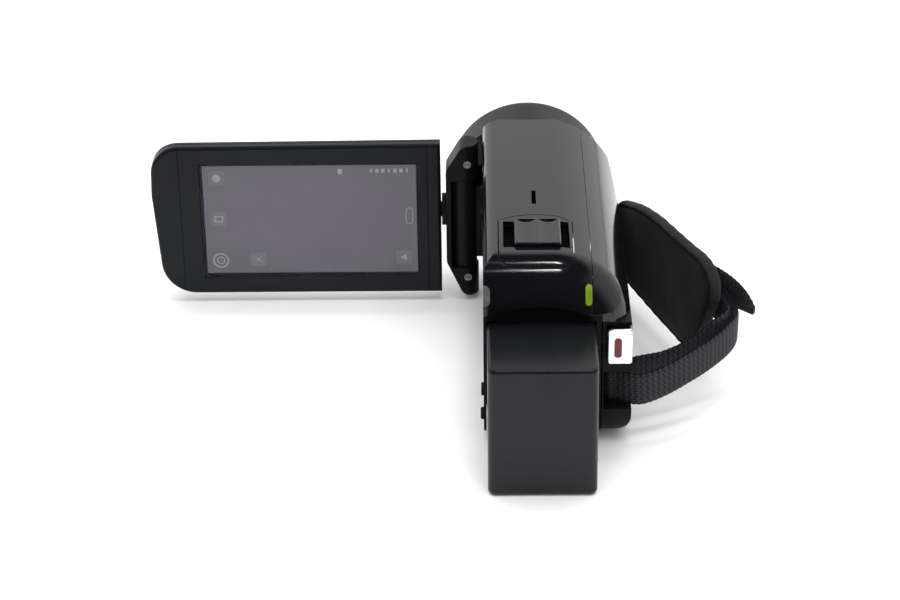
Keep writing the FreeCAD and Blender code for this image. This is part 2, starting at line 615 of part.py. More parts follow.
# ---------------------------------------------------------------- screen hinge

block_outline = [("block_left", "block_shoulder_low"), ("block_left", "block_shoulder_high"),
                 ("block_top_left", "block_high"), ("block_right", "block_high"),
                 ("block_right", "block_low"), ("block_foot_left", "block_low")]
knuckle_gap = box(("plate_inside", "0"), ("screen_face - 1", "screen_back - block_wall"),
                  ("gap_low", "gap_high"))
pin_hole = rod("z", "pin_bore", "pin_high - pin_low + 0.4", "swing_x", "swing_y", "pin_low - 0.2")
root_hole = rod("x", "tilt_shaft_radius", "5", "block_left - 1", "swing_y", "tilt_height")
hinge_screw_spots = ("hinge_screw_high", "hinge_screw_low")
hinge_wells = [rod("y", "hinge_screw_head", "hinge_screw_depth", "hinge_screw_x",
                   "screen_face - 0.1", height) for height in hinge_screw_spots]


def hinge_half(name, rear, front, outside):
    """Half of the hinge block, rounded where it turns beside the housing."""
    item = slab(name, "XZ", block_outline, (rear, front))
    body_fillet(item, "block_corner", lambda e: runs(e, "y") and at(e).x < size("block_foot_left") + 1)
    body_fillet(item, "knuckle_round",
                lambda e: runs(e, "z") and at(e).x > size("block_right") - 0.01 and
                abs(at(e).y - outside) < 0.01)
    return item


rear_half = hinge_half("HingeRear", "screen_face", "swing_y - 0.05", size("screen_face"))
node("hinge_cover", cut(rear_half, knuckle_gap, pin_hole, root_hole, *hinge_wells))
front_half = hinge_half("HingeFront", "swing_y + 0.05", "screen_back", size("screen_back"))
node("hinge_block", cut(front_half, knuckle_gap, pin_hole, root_hole))
screw_slots = [box(("hinge_screw_x - 0.9", "hinge_screw_x + 0.9"),
                   ("screen_face - 1", "screen_face + 0.55"),
                   (f"{height} - 0.15", f"{height} + 0.15")) for height in hinge_screw_spots]
node("hinge_screws", cut(fuse(*[rod("y", "hinge_screw_head - 0.02", "hinge_screw_depth - 0.3",
                                    "hinge_screw_x", "screen_face + 0.15", height)
                                for height in hinge_screw_spots]), *screw_slots))
node("tilt_shaft", fuse(
    rod("x", "tilt_shaft_radius", "plate_inside - block_left", "block_left", "swing_y", "tilt_height"),
    rod("x", "neck_radius", "block_left - neck_end", "neck_end", "swing_y", "tilt_height"),
    rod("x", "tilt_shaft_radius", "neck_end - tilt_shaft_end + 0.1", "tilt_shaft_end", "swing_y",
        "tilt_height")))
knuckle_cut = rod("z", "pin_radius", "pin_high - pin_low", "swing_x", "swing_y", "pin_low")
node("hinge_base", cut(
    fuse(rod("z", "base_knuckle_radius", "base_knuckle_high - base_knuckle_low", "swing_x", "swing_y",
             "base_knuckle_low"), block("hinge_web"), block("hinge_foot")), knuckle_cut))
node("swing_pin", rod("z", "pin_radius", "pin_high - pin_low", "swing_x", "swing_y", "pin_low"))

# ---------------------------------------------------------------- hand strap


def bracket(name):
    """A pocket in the housing wall for the strap, closed above and below the notch."""
    return cut(common(block(f"{name}_bracket"), inner), block(f"{name}_notch"))


def strap_post(name, x, y):
    return rod("z", "post_radius", f"{name}_bracket_top - {name}_bracket_bottom - 1", x, y,
               f"{name}_bracket_bottom + 0.5")


POSTS = {"rear": (22.9, -52.6), "front": (22.2, 27.2)}
for name, spot in POSTS.items():
    post = node(f"{name}_strap_post", strap_post(name, *spot))
    node(f"{name}_strap_bracket", cut(bracket(name), post))


def band(name, stations, thick, tall):
    """A closed band through (x, y, bottom) stations, as a ruled loft of upright rectangles.

    tall is one height for all stations or a list with one height each.
    """
    count = len(stations)
    heights = tall if isinstance(tall, list) else [tall] * count
    profiles = []
    for index, (x, y, low) in enumerate(stations):
        before = stations[max(index - 1, 0)]
        after = stations[min(index + 1, count - 1)]
        along = Vector(after[0] - before[0], after[1] - before[1], 0).normalize()
        side = Vector(-along.y, along.x, 0) * (thick / 2)
        spot = Vector(x, y, low)
        up = Vector(0, 0, heights[index])
        profiles.append(Part.makePolygon([spot - side, spot + side, spot + side + up, spot - side + up,
                                          spot - side]))
    return solid(name, Part.makeLoft(profiles, True, True))


PAD_STATIONS = [(29.2, 27.6, 11.7), (31.9, 20.6, 11.5), (34.6, 12.5, 11.6), (38.6, 2.5, 10.9),
                (43.0, -8, 10.1), (47.2, -18, 9.8), (49.2, -22.7, 14.0), (51.0, -27, 20.4),
                (52.4, -30, 27.0), (53.2, -31.8, 31.0)]
PAD_HEIGHTS = [23.3, 25.9, 28.3, 30.4, 31.2, 31.6, 27.6, 20.7, 12.0, 5.5]
node("strap_pad", band("StrapPad", PAD_STATIONS, size("pad_thick"), PAD_HEIGHTS))


def around(spot, radius, start, end, low, steps):
    """Stations on an arc about a post, from one bearing to another in degrees."""
    turns = [math.radians(start + (end - start) * step / steps) for step in range(steps + 1)]
    return [(spot[0] + radius * math.cos(turn), spot[1] + radius * math.sin(turn), low) for turn in turns]


loop_radius = size("post_radius") + size("strap_thick") / 2 + 0.35
REAR_INNER = [(51.9, -19.5, 22.2), (54.4, -25.5, 21.8), (56.6, -32, 21.2), (56.2, -36.2, 20.7),
              (52.5, -39.3, 19.4), (46, -42.2, 15.0), (38, -45.8, 12.8), (30.5, -48.6, 12.6)]
REAR_OUTER = [(30, -57.2, 11.5), (37, -55.0, 12.7), (45, -50.4, 14.9), (52, -44.8, 16.7),
              (57.1, -39.2, 18.2), (59.4, -34, 19.1), (58.8, -28.5, 20.2), (56.9, -23, 21.2)]
rear_loop = around(POSTS["rear"], loop_radius, 80, 280, 12.0, 8)
node("rear_strap", band("RearStrap", REAR_INNER + rear_loop + REAR_OUTER, size("strap_thick"),
                        size("strap_width")))

FRONT_INNER = [(26.4, 23.9, 18.9)]
FRONT_OUTER = [(30.3, 31.4, 18.8), (34.1, 27.7, 19.0), (36.8, 20, 19.8), (41.6, 8.5, 21.6),
               (46.4, -2.5, 23.4), (50.4, -11.5, 24.7), (54.6, -18.2, 25.6), (59.1, -23.4, 25.2),
               (62.4, -29, 26.3), (64.4, -32.8, 27.2)]
TAIL_HEIGHTS = [9.1, 6.4, 2.8]
front_loop = around(POSTS["front"], loop_radius, -75, -280, 18.8, 8)
front_route = FRONT_INNER + front_loop + FRONT_OUTER
full_stations = len(front_route) - len(TAIL_HEIGHTS)
node("front_strap", band("FrontStrap", front_route, size("strap_thick"),
                         [size("strap_width")] * full_stations + TAIL_HEIGHTS))

# ---------------------------------------------------------------- check and write

doc.recompute()
for item in doc.Objects:
    bad = [word for word in item.State if word in ("Invalid", "Error")]
    if bad:
        raise RuntimeError(f"{item.Name} ({item.Label}) is {bad}")
os.makedirs("parts", exist_ok=True)
for name, item in nodes.items():
    shape = item.Shape
    if shape.isNull() or not shape.isValid() or shape.Volume <= 0:
        raise RuntimeError(f"{name} has no valid shape")
    shape.exportStep(f"parts/{name}.step")
    limits = shape.BoundBox
    print(f"{name:22s} solids {len(shape.Solids)} volume {shape.Volume:10.1f} "
          f"x {limits.XMin:7.1f} {limits.XMax:7.1f} y {limits.YMin:7.1f} {limits.YMax:7.1f} "
          f"z {limits.ZMin:6.1f} {limits.ZMax:6.1f}")
print(len(nodes), "nodes")
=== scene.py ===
"""Looks for the camcorder: materials, soft goods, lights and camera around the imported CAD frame."""
import math

import bpy
from mathutils import Matrix, Vector, noise

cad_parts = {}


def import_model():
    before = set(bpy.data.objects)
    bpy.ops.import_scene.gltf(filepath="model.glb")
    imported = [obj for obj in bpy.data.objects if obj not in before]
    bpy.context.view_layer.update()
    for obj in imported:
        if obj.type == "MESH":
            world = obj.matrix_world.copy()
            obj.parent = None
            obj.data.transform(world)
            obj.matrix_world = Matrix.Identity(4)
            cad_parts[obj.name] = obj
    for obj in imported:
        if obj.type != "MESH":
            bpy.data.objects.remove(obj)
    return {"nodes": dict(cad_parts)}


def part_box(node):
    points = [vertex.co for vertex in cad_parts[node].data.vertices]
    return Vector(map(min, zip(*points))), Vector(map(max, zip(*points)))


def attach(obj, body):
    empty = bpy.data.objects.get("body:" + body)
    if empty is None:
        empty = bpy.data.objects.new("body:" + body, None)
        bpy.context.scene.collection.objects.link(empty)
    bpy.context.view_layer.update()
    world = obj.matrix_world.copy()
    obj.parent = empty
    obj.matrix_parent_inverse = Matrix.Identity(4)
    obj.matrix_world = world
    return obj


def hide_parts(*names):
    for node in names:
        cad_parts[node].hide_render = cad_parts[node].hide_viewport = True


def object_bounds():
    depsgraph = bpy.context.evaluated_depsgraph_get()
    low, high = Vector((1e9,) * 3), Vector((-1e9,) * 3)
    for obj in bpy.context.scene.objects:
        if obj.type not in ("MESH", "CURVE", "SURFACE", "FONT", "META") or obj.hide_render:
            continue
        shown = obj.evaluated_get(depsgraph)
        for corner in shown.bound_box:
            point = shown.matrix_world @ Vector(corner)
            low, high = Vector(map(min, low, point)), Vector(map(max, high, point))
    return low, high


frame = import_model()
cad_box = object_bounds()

MM = 0.001
NOISE_LOW, NOISE_HIGH = 0.3, 0.7
WEAR_FLAT, WEAR_ROUND = 0.985, 0.90
scene = bpy.context.scene

# ---------------------------------------------------------------- node helpers


def put(tree, kind, inputs=None, **settings):
    """Adds a shader node. An input is a number, a colour or another node's output socket."""
    node = tree.nodes.new(kind)
    for name, value in settings.items():
        setattr(node, name, value)
    for key, value in (inputs or {}).items():
        if isinstance(value, bpy.types.NodeSocket):
            tree.links.new(value, node.inputs[key])
        else:
            node.inputs[key].default_value = value
    return node


def new_material(name):
    """A node material, its tree, its shader and the piece's own coordinates in metres."""
    material = bpy.data.materials.new(name)
    material.use_nodes = True
    tree = material.node_tree
    coords = put(tree, "ShaderNodeTexCoord").outputs["Object"]
    return material, tree, tree.nodes["Principled BSDF"], coords


def grain(tree, coords, scale, detail=2.0, rough=0.5):
    made = put(tree, "ShaderNodeTexNoise",
               {"Vector": coords, "Scale": scale, "Detail": detail, "Roughness": rough})
    return made.outputs["Fac"]


def remap(tree, value, low, high, to_low, to_high):
    made = put(tree, "ShaderNodeMapRange", {"Value": value, "From Min": low, "From Max": high,
                                            "To Min": to_low, "To Max": to_high})
    return made.outputs["Result"]


def spread(tree, value, to_low, to_high):
    """Stretches the span a noise mostly stays in over to_low to to_high."""
    return remap(tree, value, NOISE_LOW, NOISE_HIGH, to_low, to_high)


def softened(tree, radius):
    """The normal with edges rounded over a radius in millimetres."""
    return put(tree, "ShaderNodeBevel", {"Radius": radius * MM}, samples=4).outputs["Normal"]


MIX_FACTOR, MIX_A, MIX_B, MIX_OUT = 0, 6, 7, 2


def tint(tree, factor, a, b):
    """Colour a where factor is 0, b where it is 1."""
    mix = put(tree, "ShaderNodeMix", {MIX_FACTOR: factor, MIX_A: a, MIX_B: b}, data_type="RGBA")
    return mix.outputs[MIX_OUT]


def product(tree, a, b):
    return put(tree, "ShaderNodeMath", {0: a, 1: b}, operation="MULTIPLY").outputs[0]


def shade(colour, factor):
    return tuple(min(1.0, c * factor) for c in colour[:3]) + (1.0,)


def edge_wear(tree, soft_normal):
    """1 on a worn outer edge, 0 on a face."""
    flat = put(tree, "ShaderNodeNewGeometry").outputs["Normal"]
    dot = put(tree, "ShaderNodeVectorMath", {0: soft_normal, 1: flat}, operation="DOT_PRODUCT")
    return remap(tree, dot.outputs["Value"], WEAR_FLAT, WEAR_ROUND, 0.0, 1.0)


def moulded(name, colour, rough, grain_size=0.4, grain_depth=0.006, edge=0.25, wear=0.35, dust=0.0,
            **uniform):
    """Moulded or painted plastic: eroded-mould grain, patchy sheen, softened and lightly worn edges.

    grain_size, grain_depth and edge are in millimetres; uniform sets sockets of the shader itself.
    """
    material, tree, shader, coords = new_material(name)
    soft = softened(tree, edge)
    patches = grain(tree, coords, 45, 3)
    colour_mix = tint(tree, spread(tree, patches, 0, 1), shade(colour, 0.86), shade(colour, 1.14))
    rubbed = remap(tree, grain(tree, coords, 260, 4), 0.45, 0.7, 0, wear)
    worn = product(tree, edge_wear(tree, soft), rubbed)
    colour_mix = tint(tree, worn, colour_mix, shade(colour, 2.6))
    if dust:
        specks = put(tree, "ShaderNodeTexVoronoi", {"Vector": coords, "Scale": 420.0})
        mask = product(tree, remap(tree, specks.outputs["Distance"], 0.05, 0.0, 0, 1),
                       remap(tree, grain(tree, coords, 90, 1), 0.56, 0.62, 0, dust))
        colour_mix = tint(tree, mask, colour_mix, (0.30, 0.30, 0.31, 1))
    tree.links.new(colour_mix, shader.inputs["Base Color"])
    sheen_patches = spread(tree, grain(tree, coords, 130, 4, 0.6), rough * 0.86, rough * 1.16)
    tree.links.new(sheen_patches, shader.inputs["Roughness"])
    bump = put(tree, "ShaderNodeBump", {"Height": grain(tree, coords, 1000 / grain_size, 2),
                                        "Distance": grain_depth * MM, "Strength": 1.0, "Normal": soft})
    tree.links.new(bump.outputs["Normal"], shader.inputs["Normal"])
    for socket, value in uniform.items():
        shader.inputs[socket.replace("_", " ")].default_value = value
    return material


def metal(name, colour, rough, brushed):
    """Machined or plated metal with fine turning marks and faint tarnish."""
    material, tree, shader, coords = new_material(name)
    shader.inputs["Metallic"].default_value = 1.0
    tarnish = remap(tree, grain(tree, coords, 240, 4), 0.35, 0.7, 0, 1)
    tree.links.new(tint(tree, tarnish, shade(colour, 1.0), shade(colour, 0.82)),
                   shader.inputs["Base Color"])
    tree.links.new(spread(tree, grain(tree, coords, 900, 3), rough * 0.8, rough * 1.25),
                   shader.inputs["Roughness"])
    marks = put(tree, "ShaderNodeTexWave", {"Vector": coords, "Scale": 1500.0, "Distortion": 3.0,
                                            "Detail": 2.0}, wave_type="RINGS")
    soft = softened(tree, 0.15)
    bump = put(tree, "ShaderNodeBump", {"Height": marks.outputs["Fac"], "Distance": 0.002 * MM,
                                        "Strength": brushed, "Normal": soft})
    tree.links.new(bump.outputs["Normal"], shader.inputs["Normal"])
    return material


def circuit_board(name):
    """Green solder mask with copper tracks under it."""
    material, tree, shader, coords = new_material(name)
    tracks = put(tree, "ShaderNodeTexBrick", {
        "Vector": coords, "Scale": 420.0, "Mortar Size": 0.05, "Mortar": (0.06, 0.24, 0.10, 1),
        "Color1": (0.02, 0.12, 0.05, 1), "Color2": (0.018, 0.10, 0.045, 1)})
    tree.links.new(tracks.outputs["Color"], shader.inputs["Base Color"])
    tree.links.new(spread(tree, grain(tree, coords, 600), 0.3, 0.45), shader.inputs["Roughness"])
    return material


def optical_glass(name, coating, strength):
    """Lens glass with a tinted anti-reflection coating."""
    material, tree, shader, coords = new_material(name)
    rim = put(tree, "ShaderNodeLayerWeight", {"Blend": 0.35}).outputs["Facing"]
    tree.links.new(tint(tree, rim, coating, (0.85, 0.9, 0.95, 1)), shader.inputs["Base Color"])
    smudge = remap(tree, grain(tree, coords, 180, 4), 0.45, 0.75, 0.01, 0.05)
    tree.links.new(smudge, shader.inputs["Roughness"])
    shader.inputs["Transmission Weight"].default_value = strength
    shader.inputs["IOR"].default_value = 1.52
    shader.inputs["Coat Weight"].default_value = 0.6
    shader.inputs["Coat Tint"].default_value = (0.75, 0.6, 0.95, 1)
    return material


def lamp(name, colour, glow):
    """A small light pipe: milky plastic, its tone cloudy and uneven."""
    material, tree, shader, coords = new_material(name)
    cloud = spread(tree, grain(tree, coords, 500, 3), 0, 1)
    blend = tint(tree, cloud, shade(colour, 0.75), shade(colour, 1.2))
    tree.links.new(blend, shader.inputs["Base Color"])
    tree.links.new(blend, shader.inputs["Emission Color"])
    shader.inputs["Emission Strength"].default_value = glow
    shader.inputs["Roughness"].default_value = 0.18
    shader.inputs["Coat Weight"].default_value = 0.5
    soft = softened(tree, 0.3)
    tree.links.new(soft, shader.inputs["Normal"])
    return material


def live_display(name):
    """The lit picture: dim violet grey, cloudy and uneven towards the corners."""
    material, tree, shader, coords = new_material(name)
    low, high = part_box("screen_display")
    centre, half = (low + high) / 2, (high - low) / 2
    offset = put(tree, "ShaderNodeVectorMath", {0: coords, 1: tuple(centre)},
                 operation="SUBTRACT").outputs[0]
    scaled = put(tree, "ShaderNodeVectorMath", {0: offset, 1: (1 / half.x, 1 / half.x, 1 / half.z)},
                 operation="MULTIPLY").outputs[0]
    radius = put(tree, "ShaderNodeVectorMath", {0: scaled}, operation="LENGTH").outputs["Value"]
    clouds = grain(tree, coords, 60, 3)
    base = tint(tree, remap(tree, clouds, 0.35, 0.65, 0, 1),
                (0.140, 0.124, 0.168, 1), (0.154, 0.139, 0.180, 1))
    edged = tint(tree, remap(tree, radius, 0.75, 1.5, 0, 1), base, (0.128, 0.126, 0.136, 1))
    tree.links.new(edged, shader.inputs["Emission Color"])
    shader.inputs["Emission Strength"].default_value = 0.62
    shader.inputs["Base Color"].default_value = (0.03, 0.03, 0.033, 1)
    tree.links.new(spread(tree, clouds, 0.3, 0.4), shader.inputs["Roughness"])
    return material


def panel_glass(name):
    """The touch panel's clear front, with faint finger marks."""
    material, tree, shader, coords = new_material(name)
    marks = grain(tree, coords, 140, 5, 0.6)
    shader.inputs["Base Color"].default_value = (0.92, 0.92, 0.94, 1)
    shader.inputs["Transmission Weight"].default_value = 1.0
    shader.inputs["IOR"].default_value = 1.12
    tree.links.new(remap(tree, marks, 0.45, 0.75, 0.03, 0.16), shader.inputs["Roughness"])
    return material


def lit_symbol(name, colour, glow):
    """A symbol drawn on the lit display."""
    material, tree, shader, coords = new_material(name)
    ink = tint(tree, remap(tree, grain(tree, coords, 2500), 0.35, 0.65, 0, 1),
               shade(colour, 0.8), shade(colour, 1.1))
    tree.links.new(ink, shader.inputs["Base Color"])
    tree.links.new(ink, shader.inputs["Emission Color"])
    shader.inputs["Emission Strength"].default_value = glow
    tree.links.new(spread(tree, grain(tree, coords, 900), 0.35, 0.5), shader.inputs["Roughness"])
    return material


def woven_nylon(name, colour):
    """Nylon webbing yarn. The weave itself is in the mesh; its height is in the attribute "relief", which
    also drives painted shade in the low crevices and a painted highlight on the high crowns.
    """
    material, tree, shader, coords = new_material(name)
    relief = put(tree, "ShaderNodeAttribute", attribute_name="relief").outputs["Fac"]
    fibres = grain(tree, coords, 5200, 3, 0.7)
    # painted shade and highlight: low crevices darkened to 5% of the yarn colour, high crowns lightened
    painted_crevice_shade_and_crown_light = tint(tree, remap(tree, relief, 0.2, 0.85, 0, 1), shade(colour, 0.05), shade(colour, 1.35))
    fade = remap(tree, grain(tree, coords, 120, 3), 0.5, 0.75, 0, 0.35)
    faded_with_painted_shade = tint(tree, fade, painted_crevice_shade_and_crown_light, shade(colour, 1.9))
    tree.links.new(tint(tree, remap(tree, fibres, 0.35, 0.65, 0, 0.5), faded_with_painted_shade, shade(colour, 0.5)),
                   shader.inputs["Base Color"])
    tree.links.new(spread(tree, fibres, 0.42, 0.62), shader.inputs["Roughness"])
    bump = put(tree, "ShaderNodeBump", {"Height": fibres, "Distance": 0.03 * MM, "Strength": 0.9})
    tree.links.new(bump.outputs["Normal"], shader.inputs["Normal"])
    shader.inputs["Specular IOR Level"].default_value = 0.2
    return material


def suede(name, colour):
    """Brushed microfibre: fine nap with rubbed patches."""
    material, tree, shader, coords = new_material(name)
    nap = grain(tree, coords, 3200, 4, 0.75)
    rubbed = remap(tree, grain(tree, coords, 70, 4, 0.6), 0.42, 0.66, 0, 1)
    base = tint(tree, rubbed, shade(colour, 0.75), shade(colour, 1.35))
    tree.links.new(tint(tree, spread(tree, nap, 0, 0.7), base, shade(colour, 0.45)),
                   shader.inputs["Base Color"])
    tree.links.new(spread(tree, nap, 0.8, 0.95), shader.inputs["Roughness"])
    bump = put(tree, "ShaderNodeBump", {"Height": nap, "Distance": 0.05 * MM, "Strength": 0.9})
    tree.links.new(bump.outputs["Normal"], shader.inputs["Normal"])
    shader.inputs["Specular IOR Level"].default_value = 0.12
    shader.inputs["Sheen Weight"].default_value = 0.06
    shader.inputs["Sheen Roughness"].default_value = 0.5
    return material


SATIN = {"Specular_IOR_Level": 0.18}
DEEP_SATIN = {"Specular_IOR_Level": 0.12}

MATERIALS = {
    "graphite_gloss": moulded("graphite_gloss", (0.0045, 0.0045, 0.0058), 0.10, 0.9, 0.0004, wear=0.15,
                              dust=0.3, Specular_IOR_Level=0.43),
    "black_gloss": moulded("black_gloss", (0.0035, 0.0035, 0.0045), 0.05, 1.2, 0.0003, dust=0.4),
    "black_matte": moulded("black_matte", (0.0052, 0.0056, 0.0062), 0.42, 0.35, 0.005, wear=0.15, dust=0.2,
                           **DEEP_SATIN),
    "battery_plastic": moulded("battery_plastic", (0.0072, 0.0078, 0.0098), 0.24, 0.45, 0.003, 0.5,
                               wear=0.3, dust=0.3, Specular_IOR_Level=0.28),
    "screen_plastic": moulded("screen_plastic", (0.0052, 0.0064, 0.0084), 0.34, 0.40, 0.004, wear=0.15,
                              dust=0.2, **SATIN),
    "screen_panel": panel_glass("screen_panel"),
    "display_module": live_display("display_module"),
    "chrome_trim": metal("chrome_trim", (0.93, 0.93, 0.94), 0.07, 0.01),
    "red_mark": moulded("red_mark", (0.16, 0.012, 0.014), 0.3, 0.4, 0.003, 0.1),
    # painted glow: the unlit access lamp is given a faint emission
    "lamp_clear": lamp("lamp_clear", (0.11, 0.11, 0.115), 0.05),
    "lamp_green": lamp("lamp_green", (0.15, 0.22, 0.010), 0.28),
    "steel": metal("steel", (0.26, 0.26, 0.265), 0.32, 0.1),
    "brass": metal("brass", (0.70, 0.55, 0.30), 0.3, 0.15),
    "gold_contacts": metal("gold_contacts", (0.85, 0.65, 0.30), 0.2, 0.1),
    "circuit_board": circuit_board("circuit_board"),
    "lens_glass": optical_glass("lens_glass", (0.30, 0.22, 0.42, 1), 0.85),
    "alloy": metal("alloy", (0.55, 0.55, 0.57), 0.35, 0.15),
    "nylon_webbing": woven_nylon("nylon_webbing", (0.033, 0.032, 0.0375)),
    "pad_fabric": suede("pad_fabric", (0.0078, 0.0064, 0.0078)),
    "nylon_binding": suede("nylon_binding", (0.020, 0.018, 0.0205)),
    "thread": suede("thread", (0.03, 0.028, 0.03)),
    "symbol_tile": lit_symbol("symbol_tile", (0.115, 0.112, 0.120), 0.5),
    "symbol": lit_symbol("symbol", (0.22, 0.225, 0.235), 0.5),
}


def dress_cad():
    """Gives each CAD node the procedural material of its slot in the record."""
    for node in frame["nodes"].values():
        for index, held in enumerate(node.material_slots):
            node.data.materials[index] = MATERIALS[held.material.name.split(".")[0]]


# ---------------------------------------------------------------- mesh helpers


def link(name, verts, faces, material, slot, body=None, smooth=True):
    """Makes a mesh piece; slot is not used, and a piece without a body is given one later."""
    mesh = bpy.data.meshes.new(name)
    mesh.from_pydata([tuple(v) for v in verts], [], faces)
    mesh.validate()
    mesh.update()
    for polygon in mesh.polygons:
        polygon.use_smooth = smooth
    piece = bpy.data.objects.new(name, mesh)
    scene.collection.objects.link(piece)
    mesh.materials.append(material)
    if body:
        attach(piece, body)
    return piece


CURVE_STEPS = 12


def through(points, step):
    """Evenly spaced points on a Catmull-Rom curve through points, which may have extra numbers."""
    dense = []
    count = len(points)
    for i in range(count - 1):
        p0, p1, p2, p3 = (points[max(0, min(count - 1, i + k))] for k in (-1, 0, 1, 2))
        for n in range(CURVE_STEPS):
            t = n / CURVE_STEPS
            dense.append([0.5 * (2 * b + (c - a) * t + (2 * a - 5 * b + 4 * c - d) * t * t
                                 + (3 * b - a - 3 * c + d) * t ** 3)
                          for a, b, c, d in zip(p0, p1, p2, p3)])
    dense.append(list(points[-1]))
    reach = [0.0]
    for a, b in zip(dense, dense[1:]):
        reach.append(reach[-1] + math.dist(a[:3], b[:3]))
    count = max(2, round(reach[-1] / step))
    out, at = [], 0
    for n in range(count + 1):
        want = reach[-1] * n / count
        while at < len(dense) - 2 and reach[at + 1] < want:
            at += 1
        share = (want - reach[at]) / max(1e-12, reach[at + 1] - reach[at])
        out.append([a + (b - a) * share for a, b in zip(dense[at], dense[at + 1])])
    return out, reach[-1]


def sideways(line, index):
    """Level unit normal of a line at a point, to its left."""
    a, b = line[max(index - 2, 0)], line[min(index + 2, len(line) - 1)]
    along = Vector((b[0] - a[0], b[1] - a[1], 0)).normalized()
    return Vector((-along.y, along.x, 0))


def ring_faces(rows, ring):
    """Faces of a tube of rows, each with ring points, closed at both ends."""
    faces = [(i * ring + j, i * ring + (j + 1) % ring, (i + 1) * ring + (j + 1) % ring, (i + 1) * ring + j)
             for i in range(rows - 1) for j in range(ring)]
    faces.append(tuple(range(ring))[::-1])
    faces.append(tuple((rows - 1) * ring + j for j in range(ring)))
    return faces


# ---------------------------------------------------------------- hand strap

RIB_PITCH, RIB_STEPS = 1.7, 6
CORD_ROWS, CORD_STEPS = 11, 4
STRAP_THICK, STRAP_WIDTH, RELIEF_DEPTH = 1.4, 9.8, 0.34
RIB_LEAN, RIB_STAGGER, EDGE_SCALLOP, STRAP_SWAY = 0.25, 0.10, 0.36, 0.12


def webbing(name, stations):
    """Ribbed nylon webbing: stations are (x, y, bottom, height) in millimetres."""
    line, length = through(stations, RIB_PITCH / RIB_STEPS)
    across = CORD_ROWS * CORD_STEPS + 1
    verts, relief = [], []
    for i, (x, y, low, tall) in enumerate(line):
        side = sideways(line, i)
        s = length * i / (len(line) - 1)
        for face in (1, -1):
            columns = range(across) if face == 1 else range(across - 1, -1, -1)
            for j in columns:
                v = j / (across - 1)
                row = min(CORD_ROWS - 1, int(v * CORD_ROWS))
                shift = RIB_STAGGER * (1 if row % 2 else -1) * face + RIB_LEAN * v
                rib = abs(math.cos(math.pi * (s / RIB_PITCH + shift))) ** 0.8
                cord = abs(math.sin(math.pi * v * CORD_ROWS)) ** 0.7
                height = (0.2 + 0.8 * rib) * (0.45 + 0.55 * cord)
                rim = (1 - abs(2 * v - 1) ** 8) ** 0.5
                out = face * (STRAP_THICK / 2 * rim - RELIEF_DEPTH * (1 - height))
                scallop = EDGE_SCALLOP * (rib - 0.5) * (2 * v - 1) ** 7
                sway = STRAP_SWAY * noise.noise(Vector((s * 0.11, v, 3)))
                verts.append((Vector((x, y, low + tall * v + scallop)) + side * (out + sway)) * MM)
                # relief drives painted shade: low weave and the strap's rounded edges get a darker yarn
                # colour
                relief.append(height * (0.5 + 0.5 * rim))
    piece = link(name, verts, ring_faces(len(line), 2 * across), MATERIALS["nylon_webbing"],
                 "nylon_webbing")
    attribute = piece.data.attributes.new("relief", "FLOAT", "POINT")
    attribute.data.foreach_set("value", relief)
    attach(piece, "housing")
    return piece


def around(spot, start, end, low, steps=8):
    """Stations of webbing laid round a post, from one bearing to another in degrees."""
    turns = [math.radians(start + (end - start) * n / steps) for n in range(steps + 1)]
    return [(spot[0] + LOOP_RADIUS * math.cos(t), spot[1] + LOOP_RADIUS * math.sin(t), low)
            for t in turns]


# Stations of the pad are (x, y, bottom, height), those of the webbing (x, y, bottom), in millimetres.
PAD_STATIONS = [(29.2, 27.6, 11.7, 23.3), (31.9, 20.6, 11.5, 25.9), (34.6, 12.5, 11.6, 28.3),
                (38.6, 2.5, 10.9, 30.4), (43.0, -8, 10.1, 31.2), (47.2, -18, 9.8, 31.6),
                (49.2, -22.7, 14.0, 27.6), (51.0, -27, 20.4, 20.7), (52.4, -30, 27.0, 12.0),
                (53.2, -31.8, 31.0, 5.5)]
REAR_INNER = [(51.9, -19.5, 22.2), (54.4, -25.5, 21.8), (56.6, -32, 21.2), (56.2, -36.2, 20.7),
              (52.5, -39.3, 19.4), (46, -42.2, 15.0), (38, -45.8, 12.8), (30.5, -48.6, 12.6)]
REAR_OUTER = [(30, -57.2, 11.5), (37, -55.0, 12.7), (45, -50.4, 14.9), (52, -44.8, 16.7),
              (57.1, -39.2, 18.2), (59.4, -34, 19.1), (58.8, -28.5, 20.2), (56.9, -23, 21.2)]
FRONT_INNER = [(26.4, 23.9, 18.9)]
FRONT_OUTER = [(30.3, 31.4, 18.8), (34.1, 27.7, 19.0), (36.8, 20, 19.8), (41.6, 8.5, 21.6),
               (46.4, -2.5, 23.4), (50.4, -11.5, 24.7), (54.6, -18.2, 25.6), (59.1, -23.4, 25.2),
               (62.4, -29, 26.3), (64.4, -32.8, 27.2)]
TAIL_HEIGHTS = [9.1, 6.4, 2.8]
REAR_POST, FRONT_POST, LOOP_RADIUS = (22.9, -52.6), (22.2, 27.2), 2.45


def straps():
    """The rear and front webbing, each from the pad round its post and back."""
    rear_route = REAR_INNER + around(REAR_POST, 80, 280, 12.0) + REAR_OUTER
    rear = webbing("rear_webbing", [(*spot, STRAP_WIDTH) for spot in rear_route])
    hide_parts("rear_strap")
    front_route = FRONT_INNER + around(FRONT_POST, -75, -280, 18.8) + FRONT_OUTER
    heights = [STRAP_WIDTH] * (len(front_route) - len(TAIL_HEIGHTS)) + TAIL_HEIGHTS
    front = webbing("front_webbing", [(*spot, tall) for spot, tall in zip(front_route, heights)])
    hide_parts("front_strap")


PAD_ROWS, PAD_COLUMNS = 96, 44
PAD_EDGE, PAD_CROWN = 3.0, 4.6
SEAM_SHARE = 0.35
EDGE_RISE, END_RISE_ROWS = 3.2, 5
CAP_LENGTH, CAP_SHARE = 3, 0.90


